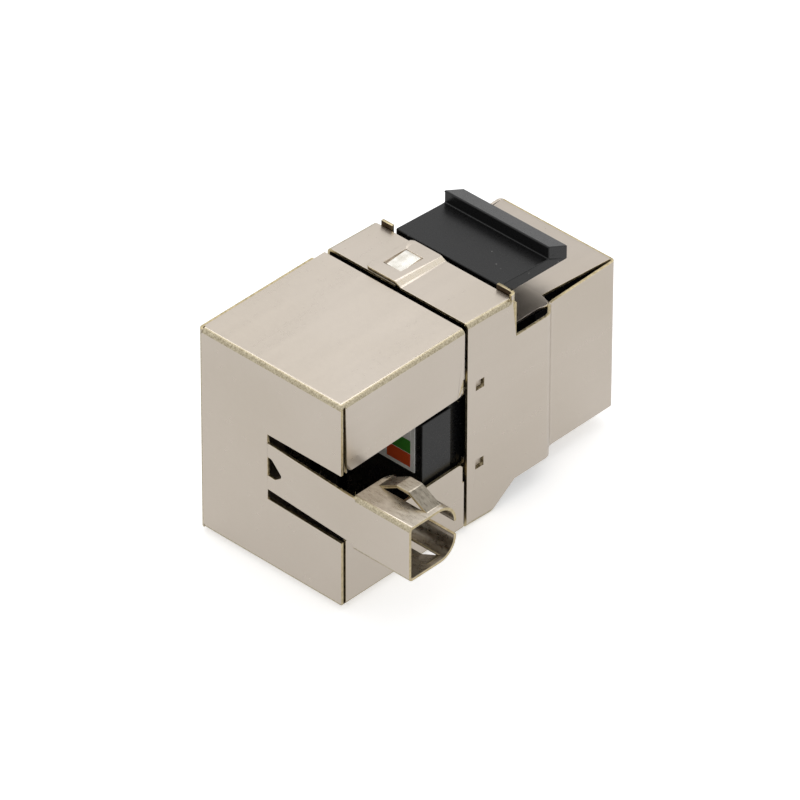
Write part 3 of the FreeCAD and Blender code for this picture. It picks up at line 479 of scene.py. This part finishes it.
FLAP_CORNER = (22.95, 6.44)     # centre of the flap's rounded corner, in Y and Z
FLAP_ROUND = 0.9
quarter = [(FLAP_CORNER[0] - FLAP_ROUND * cos(radians(turn)),
            FLAP_CORNER[1] - FLAP_ROUND * sin(radians(turn))) for turn in range(0, 91, 15)]
CARVINGS = {
    "front_shield": [],
    "rear_cap": [
        # the flap's corner, the recess above it and the upper edge of the lower tab
        (quarter + [(23.1, 5.512), (23.1, 4.4), (21.2, 4.4), (21.2, 6.44)], (-9.2, -7.4)),
        ([(21.9, 6.44), (22.25, 6.44), (22.25, 7.30), (21.9, 7.30)], (-9.2, -8.55)),
        ([(21.2, -3.0), (22.24, -3.0), (22.24, -1.9), (21.2, -1.9)], (-9.2, -7.4)),
    ],
}
print("carvings:", {node: len(steps) for node, steps in CARVINGS.items()})

# %% [markdown]
# The tab's root is one more fold: from the flap it turns inwards and then runs forward, inside
# the shield. It is added as a prism that stands upright, given by its plan.

# %% Root of the upper near tab
TAB_ROOT = [(-8.75, 22.60), (-8.75, 22.30), (-8.05, 21.60), (-7.99, 21.45), (-7.99, 20.70),
            (-7.69, 20.70), (-7.69, 21.58), (-8.45, 22.36), (-8.45, 22.60)]
TAB_ROOT_HEIGHT = (6.30, 7.28)


def add_tab_root(work):
    """Adds the raised root of the upper near tab."""
    low, high = [ring(work, [(x, y, z) for x, y in TAB_ROOT]) for z in TAB_ROOT_HEIGHT]
    made = [work.faces.new(low), work.faces.new(high)] + walls(work, low, high)
    bmesh.ops.recalc_face_normals(work, faces=made)
    bmesh.ops.triangulate(work, faces=made)
    work.normal_update()


print("tab root:", len(TAB_ROOT), "corners, height", TAB_ROOT_HEIGHT)

# %% [markdown]
# Now both pieces are dressed. The shield is first split by a level plane at the foot of its
# lugs, so that their dark rear faces end there and not in the middle of a long triangle. Each
# finished piece rides on the body of its CAD node and takes that node's place.

# %% Dressing the shield and the cap
def folded_sheet(node, body):
    """Detailed copy of a folded sheet piece."""
    work = welded_copy(node)
    for outline, sides in CARVINGS[node]:
        work = carved(work, outline, sides)
    if node == "rear_cap":
        add_tab_root(work)
    if node == "front_shield":
        everything = work.verts[:] + work.edges[:] + work.faces[:]
        bmesh.ops.bisect_plane(work, geom=everything, plane_co=(0, 0, LUG_FOOT * MM),
                               plane_no=(0, 0, 1))
        bmesh.ops.triangulate(work, faces=work.faces)
    inside = BVHTree.FromBMesh(work)
    for face in work.faces:
        face.material_index = finish_of_face(face, inside, PLACES[node])
    share = [sum(face.material_index == kind for face in work.faces)
             for kind in range(len(SHEET_FINISHES))]
    piece = as_object(work, node + "_sheet", SHEET_FINISHES)
    soften(piece, EDGE_ROUND, segments=2, limit=50)
    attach(piece, body)
    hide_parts(node)
    print(node, "triangles of each finish:", share)


folded_sheet("front_shield", "housing")
folded_sheet("rear_cap", "cap")

# %% [markdown]
# ## Black mouldings
#
# The latch, the wire manager and the insert are injection moulded in black nylon. The mould was
# lightly textured, so the surface is satin with a very fine grain, and a handled part carries a
# few specks of dust. The specks come from a Voronoi pattern: each cell has one point, and only
# the smallest distance to it is painted pale. A soft noise lets them show in patches only.

# %% Black plastic
def black_plastic():
    finish, tree, shader = new_finish("black_satin_nylon", Specular_IOR_Level=0.37)
    grain = noise(tree, 4200.0, detail=3.0)
    cells = add(tree, "ShaderNodeTexVoronoi", None,
                {"Vector": place_on_object(tree), "Scale": 900.0, "Randomness": 1.0})
    near = between(tree, cells.outputs["Distance"], 1.0, 0.0, 0.06, 0.10)
    patch = between(tree, noise(tree, 350.0, detail=2.0), 0.0, 1.0, 0.52, 0.60)
    speck = combined(tree, "MULTIPLY", near, patch, use_clamp=True)
    feed(tree, shader, "Base Color",
         tinted(tree, speck, [(0.0, (0.0045, 0.0045, 0.0048)), (1.0, (0.12, 0.116, 0.11))]))
    feed(tree, shader, "Roughness", between(tree, grain, 0.25, 0.37))
    relief(tree, shader, grain, 2.2e-6)
    return finish


BLACK = black_plastic()
print("finish:", BLACK.name)

# %% Latch and wire manager
def moulding(node, body, width=CORNER_ROUND, finish=BLACK):
    """Detailed copy of a moulded piece, with soft corners."""
    piece = as_object(welded_copy(node), node + "_moulding", [finish])
    soften(piece, width, segments=3, limit=40)
    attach(piece, body)
    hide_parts(node)
    print(node, "faces:", len(piece.data.polygons))


moulding("panel_latch", "latch")
moulding("wire_manager", "manager")

# %% [markdown]
# Behind the window the manager is broader: three cheeks on each side nearly reach the cap, with
# slots between them that let the cap's tabs pass. They are plain blocks with soft corners, so a
# cube is placed and stretched for each. All six make one object, because on the real moulding
# they are one with the manager and leave with it when it is pulled off.

# %% Cheeks beside the wire manager
CHEEK = (7.45, 8.37)            # from the middle outwards, in mm
CHEEK_LENGTH = (23.3, 27.05)
CHEEK_HEIGHTS = ((-8.9, -4.4), (-2.4, 4.5), (6.5, 11.4))
blocks = bmesh.new()
for side in (-1, 1):
    for low, high in CHEEK_HEIGHTS:
        spans = (sorted((side * CHEEK[0], side * CHEEK[1])), CHEEK_LENGTH, (low, high))
        centre = Vector([(end + start) / 2 for start, end in spans]) * MM
        size = Vector([end - start for start, end in spans]) * MM
        place = Matrix.Translation(centre) @ Matrix.Diagonal((*size, 1.0))
        bmesh.ops.create_cube(blocks, size=1.0, matrix=place)
blocks.normal_update()
cheeks = as_object(blocks, "wire_manager_cheeks", [BLACK])
soften(cheeks, CORNER_ROUND, segments=3, limit=40)
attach(cheeks, "manager")
print("cheeks:", 2 * len(CHEEK_HEIGHTS), "faces:", len(cheeks.data.polygons))

# %% [markdown]
# The insert holds the port that the plug enters. Its ribs are thinner than the latch, so its
# corners are rounded less.

# %% Insert
moulding("jack_insert", "housing", width=0.06 * MM)

# %% [markdown]
# The block behind the board and the comb over the port are smaller mouldings in a dark grey
# plastic. Its filler is never mixed quite evenly, so one slow noise clouds the colour, while a
# fine one gives the grain.

# %% Terminal block and contact comb
def carrier_plastic():
    finish, tree, shader = new_finish("dark_grey_carrier_plastic")
    grain = noise(tree, 3600.0, detail=3.0)
    cloud = noise(tree, 220.0, detail=2.0)
    feed(tree, shader, "Base Color",
         tinted(tree, cloud, [(0.30, (0.024, 0.024, 0.026)), (0.70, (0.034, 0.034, 0.036))]))
    feed(tree, shader, "Roughness", between(tree, grain, 0.30, 0.42))
    relief(tree, shader, grain, 1.6e-6)
    return finish


CARRIER = carrier_plastic()
moulding("idc_block", "housing", width=0.05 * MM, finish=CARRIER)
moulding("contact_carrier", "housing", width=0.04 * MM, finish=CARRIER)

# %% [markdown]
# ## Board, contacts and terminals
#
# These CAD solids have the right shape already, so they stay and only get a finish: their
# material slots are filled with a new material. The board is green lacquer over copper. Its
# tracks are raised a hundredth of a millimetre and look slightly lighter through the lacquer; a
# wave pattern that a noise pushes about gives such winding lines.

# %% Circuit board
def board_lacquer():
    finish, tree, shader = new_finish("green_board_lacquer", Roughness=0.28)
    tracks = add(tree, "ShaderNodeTexWave", {"bands_direction": "DIAGONAL"},
                 {"Vector": place_on_object(tree), "Scale": 330.0, "Distortion": 5.0,
                  "Detail": 1.0, "Detail Scale": 1.4}).outputs["Fac"]
    line = between(tree, tracks, 0.0, 1.0, 0.70, 0.78)
    feed(tree, shader, "Base Color",
         tinted(tree, line, [(0.0, (0.008, 0.075, 0.030)), (1.0, (0.022, 0.160, 0.062))]))
    relief(tree, shader, line, 12e-6)
    return finish


def refinish(node, finish):
    """Gives a CAD node that stays its finish."""
    for holder in nodes[node].material_slots:
        holder.material = finish


refinish("circuit_board", board_lacquer())
print("board finish:", nodes["circuit_board"].material_slots[0].material.name)

# %% [markdown]
# The spring contacts are plated with gold where the plug touches them, and the terminals with
# tin. Both were stamped from rolled strip, so a noise that is drawn out along Y gives them fine
# lines along their length.

# %% Contacts and terminals
def drawn_metal(name, dark, light, smooth, rough):
    lines = dict(scale=2400.0, stretch=(1.0, 0.08, 1.0))
    return grained_finish(name, lines, dark, light, smooth, rough, depth=1.2e-6)


GOLD = drawn_metal("gold_plated_contact", (0.86, 0.58, 0.20), (1.00, 0.76, 0.34), 0.16, 0.26)
TIN = drawn_metal("tinned_terminal", (0.55, 0.54, 0.52), (0.74, 0.73, 0.71), 0.26, 0.40)
contacts = [f"contact_{i}" for i in range(1, 9)]
terminals = [f"idc_terminal_{i}" for i in range(1, 9)]
for contact, terminal in zip(contacts, terminals):
    refinish(contact, GOLD)
    refinish(terminal, TIN)
print("gold contacts:", len(contacts), "tinned terminals:", len(terminals))

# %% [markdown]
# ## The colour label
#
# A thin label on the wire manager shows which wire goes where. It is paper with a matt film, and
# on it small fields of solid colour in rows and columns. Here they are generic fields without any
# words. The paper is the CAD node; its fibres are a fine noise in two off-whites.

# %% Label paper
PAPER = grained_finish("matt_label_paper", dict(scale=2200.0, detail=4.0),
                       (0.60, 0.59, 0.56), (0.72, 0.71, 0.68), 0.50, 0.62,
                       depth=1.5e-6, metallic=0.0)
refinish("colour_label", PAPER)
print("label finish:", PAPER.name)

# %% [markdown]
# The inks: a brown-orange, a green, a blue and a brown, as wire colours come in pairs, and a pale
# field in every third row. The material reads the number of each field. That number divided by
# the number of fields is its place on a ramp with hard steps, and the ramp gives the colour.

# %% Label ink
COLUMNS = 4
ROWS = 6
INKS = {
    "orange": (0.520, 0.060, 0.008), "green": (0.032, 0.190, 0.014),
    "blue": (0.020, 0.060, 0.240), "brown": (0.090, 0.040, 0.018),
    "pale": (0.640, 0.630, 0.600),
}
COLUMN_INKS = [
    ["orange", "green", "pale", "blue", "brown", "pale"],
    ["green", "orange", "pale", "brown", "blue", "pale"],
    ["blue", "brown", "pale", "orange", "green", "pale"],
    ["brown", "blue", "pale", "green", "orange", "pale"],
]


def label_ink():
    finish, tree, shader = new_finish("label_ink")
    number = add(tree, "ShaderNodeAttribute", {"attribute_name": "field"}).outputs["Fac"]
    count = COLUMNS * ROWS
    share = combined(tree, "DIVIDE", number, float(count))
    place = combined(tree, "ADD", share, 0.5 / count)
    inks = [ink for column in COLUMN_INKS for ink in column]
    stops = [(i / count, INKS[ink]) for i, ink in enumerate(inks)]
    feed(tree, shader, "Base Color", tinted(tree, place, stops, sharp=True))
    film = noise(tree, 1800.0, detail=3.0)
    feed(tree, shader, "Roughness", between(tree, film, 0.34, 0.46))
    relief(tree, shader, film, 1.0e-6)
    return finish


INK = label_ink()
print("inks:", sorted(INKS), "for", COLUMNS * ROWS, "fields")

# %% [markdown]
# The fields repeat, which is what Geometry Nodes are for. The tree lays a grid of points, puts a
# thin plate of ink on each point, numbers the plates and ends in plain geometry. Its sizes are
# named inputs, so another label needs only other numbers.

# %% Geometry Nodes tree for the ink fields
def ink_fields_tree():
    """Grid of thin plates in the XZ plane; returns the tree and its inputs by name."""
    tree = bpy.data.node_groups.new("ink_fields", "GeometryNodeTree")
    face = tree.interface
    face.new_socket("Geometry", in_out="OUTPUT", socket_type="NodeSocketGeometry")
    inputs = {}
    for title, kind in (("Columns", "Int"), ("Rows", "Int"), ("Spread", "Vector"),
                        ("Field Size", "Vector"), ("Centre", "Vector"), ("Ink", "Material")):
        inputs[title] = face.new_socket(title, in_out="INPUT", socket_type="NodeSocket" + kind)
    given = add(tree, "NodeGroupInput").outputs
    parts = add(tree, "ShaderNodeSeparateXYZ", None, {"Vector": given["Spread"]}).outputs
    grid = add(tree, "GeometryNodeMeshGrid", None,
               {"Size X": parts["X"], "Size Y": parts["Z"],
                "Vertices X": given["Columns"], "Vertices Y": given["Rows"]}).outputs["Mesh"]
    upright = add(tree, "GeometryNodeTransform", None,
                  {"Geometry": grid, "Rotation": (radians(90), 0, 0),
                   "Translation": given["Centre"]}).outputs["Geometry"]
    plate = add(tree, "GeometryNodeMeshCube", None, {"Size": given["Field Size"]}).outputs["Mesh"]
    plates = add(tree, "GeometryNodeInstanceOnPoints", None,
                 {"Points": upright, "Instance": plate}).outputs["Instances"]
    count = add(tree, "GeometryNodeInputIndex").outputs["Index"]
    numbered = add(tree, "GeometryNodeStoreNamedAttribute",
                   {"data_type": "FLOAT", "domain": "INSTANCE"},
                   {"Geometry": plates, "Name": "field", "Value": count}).outputs["Geometry"]
    plain = add(tree, "GeometryNodeRealizeInstances", None,
                {"Geometry": numbered}).outputs["Geometry"]
    inked = add(tree, "GeometryNodeSetMaterial", None,
                {"Geometry": plain, "Material": given["Ink"]}).outputs["Geometry"]
    add(tree, "NodeGroupOutput", None, {"Geometry": inked})
    return tree, inputs


fields_tree, fields_inputs = ink_fields_tree()
print("inputs of the tree:", list(fields_inputs))

# %% [markdown]
# The tree runs on an empty mesh with this label's numbers. The first row starts at a margin above
# the label's lower edge, and each plate stands on the paper with its back. The result is made a
# plain mesh before it is put on its body.

# %% Ink fields on the label
FIELD = (2.9 * MM, 0.016 * MM, 1.43 * MM)
COLUMN_PITCH = 3.70 * MM
ROW_PITCH = 1.50 * MM
BOTTOM_MARGIN = 0.43 * MM
low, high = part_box("colour_label")
first_row = low.z + BOTTOM_MARGIN + FIELD[2] / 2
values = {
    "Columns": COLUMNS, "Rows": ROWS,
    "Spread": (COLUMN_PITCH * (COLUMNS - 1), 0.0, ROW_PITCH * (ROWS - 1)),
    "Field Size": FIELD, "Ink": INK,
    "Centre": Vector(((low.x + high.x) / 2, high.y + FIELD[1] / 2,
                      first_row + ROW_PITCH * (ROWS - 1) / 2)),
}
ink = placed("label_ink_fields", bpy.data.meshes.new("label_ink_fields_start"))
run = ink.modifiers.new("fields", "NODES")
run.node_group = fields_tree
for title, value in values.items():
    run[fields_inputs[title].identifier] = value
fields = evaluated_mesh(ink)
ink.modifiers.remove(run)
ink.data = fields
fields.name = "label_ink_fields"
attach(ink, "manager")
print("ink fields:", COLUMNS * ROWS, "faces:", len(fields.polygons),
      "attributes:", [attribute.name for attribute in fields.attributes])

# %% [markdown]
# ## Floor
#
# A plain pale floor, so that nothing distracts. It is one large sheet at the height of the
# model's lowest point, and it takes the soft shadow under the jack. The Light Path node gives it
# three levels: nearly white for the camera, darker for reflections, because a satin plate near
# the floor should show its own shading first, and a middling one for the light it throws back.
# A little emission lifts it for the camera and for reflections.

# %% Floor
FLOOR_LEVELS = [(0.0, (0.80, 0.80, 0.80)),      # for the light that it throws back
                (0.5, (0.36, 0.36, 0.36)),      # for reflections
                (1.0, (0.96, 0.96, 0.96))]      # for the camera
CAMERA_LIFT = 0.42
REFLECTION_LIFT = 0.55
FLOOR_HALF = 3.0                                # half its side, in metres


def pale_floor():
    finish, tree, shader = new_finish("pale_floor", Roughness=0.9, Specular_IOR_Level=0.0,
                                      Emission_Color=(1.0, 1.0, 1.0, 1.0))
    ways = add(tree, "ShaderNodeLightPath").outputs
    half = combined(tree, "MULTIPLY", ways["Is Glossy Ray"], 0.5)
    straight = combined(tree, "MAXIMUM", ways["Is Camera Ray"], ways["Is Transmission Ray"])
    level = combined(tree, "MAXIMUM", straight, half)
    feed(tree, shader, "Base Color", tinted(tree, level, FLOOR_LEVELS))
    direct = combined(tree, "MULTIPLY", ways["Is Camera Ray"], CAMERA_LIFT)
    mirrored = combined(tree, "MULTIPLY", ways["Is Glossy Ray"], REFLECTION_LIFT)
    feed(tree, shader, "Emission Strength", combined(tree, "ADD", direct, mirrored))
    return finish


floor_z = cad_box[0].z
sheet = bpy.data.meshes.new("floor")
sheet.from_pydata([(x * FLOOR_HALF, y * FLOOR_HALF, floor_z)
                   for x, y in ((-1, -1), (1, -1), (1, 1), (-1, 1))], [], [(0, 1, 2, 3)])
sheet.materials.append(pale_floor())
floor = placed("floor", sheet)
print("floor at", round(floor_z / MM, 2), "mm")

# %% [markdown]
# ## Light
#
# Metal shows its surroundings more than its own colour, so the studio is one even, pale surround.
# The world is white to the camera and a little weaker as a light. Reflections see it brighter
# overhead than at the horizon, like the walls of a light tent, which sets the upright plates
# apart from the flat ones.

# %% World
WORLD_LIGHT = 0.78
HORIZON = 0.82
ZENITH = 1.0
world = bpy.data.worlds.new("pale_studio")
bpy.context.scene.world = world
world.use_nodes = True
sky = world.node_tree
ways = add(sky, "ShaderNodeLightPath").outputs
straight = combined(sky, "MAXIMUM", ways["Is Camera Ray"], ways["Is Transmission Ray"])
where = add(sky, "ShaderNodeTexCoord").outputs["Generated"]
height = add(sky, "ShaderNodeSeparateXYZ", None, {"Vector": where}).outputs["Z"]
wall = between(sky, height, HORIZON, ZENITH, 0.0, 1.0)
shade = add(sky, "ShaderNodeMix", {"data_type": "FLOAT"},
            {"Factor": ways["Is Glossy Ray"], "A": WORLD_LIGHT, "B": wall}).outputs[0]
shade = add(sky, "ShaderNodeMix", {"data_type": "FLOAT"},
            {"Factor": straight, "A": shade, "B": 1.0}).outputs[0]
background = sky.nodes["Background"].inputs
sky.links.new(shade, background["Color"])
background["Strength"].default_value = 1.0
print("world", WORLD_LIGHT, "reflected from", HORIZON, "to", ZENITH)

# %% [markdown]
# One long strip lamp hangs above, turned across the line of sight. The flat top mirrors a place
# below it, but each rounded bend has a narrow stretch that mirrors the strip, so it draws the
# bright line on the bends. A broad lamp would blur that line, and a small one would break it.

# %% Lamp
LAMP_DISTANCE = 0.60
LAMP_LENGTH = 0.90
LAMP_WIDTH = 0.14
LAMP_POWER = 0.80
LAMP_TURN = radians(43)
LAMP_SIDE = Vector((0.32, -0.345, 0.88))        # from the model towards the lamp
lamp = bpy.data.lights.new("soft_box", "AREA")
lamp.shape = "RECTANGLE"
lamp.size = LAMP_LENGTH
lamp.size_y = LAMP_WIDTH
lamp.energy = LAMP_POWER
soft_box = placed("soft_box", lamp)
middle = Vector((cad_box[0] + cad_box[1])) / 2
away = LAMP_SIDE.normalized()
along = Vector((cos(LAMP_TURN), sin(LAMP_TURN), 0.0))
across = away.cross(along).normalized()
facing = Matrix((across.cross(away), across, away)).transposed().to_4x4()
soft_box.matrix_world = Matrix.Translation(middle + away * LAMP_DISTANCE) @ facing
print("lamp:", LAMP_POWER, "W at", LAMP_DISTANCE, "m")

# %% [markdown]
# ## Camera
#
# A long lens from almost a metre away, so that parallel edges stay nearly parallel, as in a
# catalogue. The direction is given as two angles: how far round the jack the camera stands,
# counted from the front, and how high it looks down from. The jack isn't quite in the middle, so
# the aim is shifted a little within the view's own plane.

# %% Camera
AROUND = radians(223.30)
ABOVE = radians(36.70)
ROLL = radians(0.155)
DISTANCE = 884.9 * MM
LENS = 436.7                                    # focal length, in mm
SENSOR = 36.0
CLIP = (0.01, 20.0)
SUBJECT = Vector((0.0, 19.0, 1.25)) * MM
OFF_CENTRE = (1.45 * MM, 2.006 * MM)            # to the right and up

back = Vector((sin(AROUND) * cos(ABOVE), -cos(AROUND) * cos(ABOVE), sin(ABOVE)))
right = Vector((cos(AROUND), sin(AROUND), 0.0))
up = back.cross(right)
aim = SUBJECT - right * OFF_CENTRE[0] - up * OFF_CENTRE[1]
turn = Matrix((right, up, back)).transposed().to_4x4()
lens = bpy.data.cameras.new("camera")
lens.lens = LENS
lens.sensor_width = SENSOR
lens.clip_start, lens.clip_end = CLIP
camera = placed("camera", lens)
camera.matrix_world = (Matrix.Translation(aim + back * DISTANCE) @ turn
                       @ Matrix.Rotation(ROLL, 4, "Z"))
bpy.context.scene.camera = camera
bpy.context.scene.view_settings.view_transform = "Standard"
print("camera at", [round(v, 3) for v in camera.location])
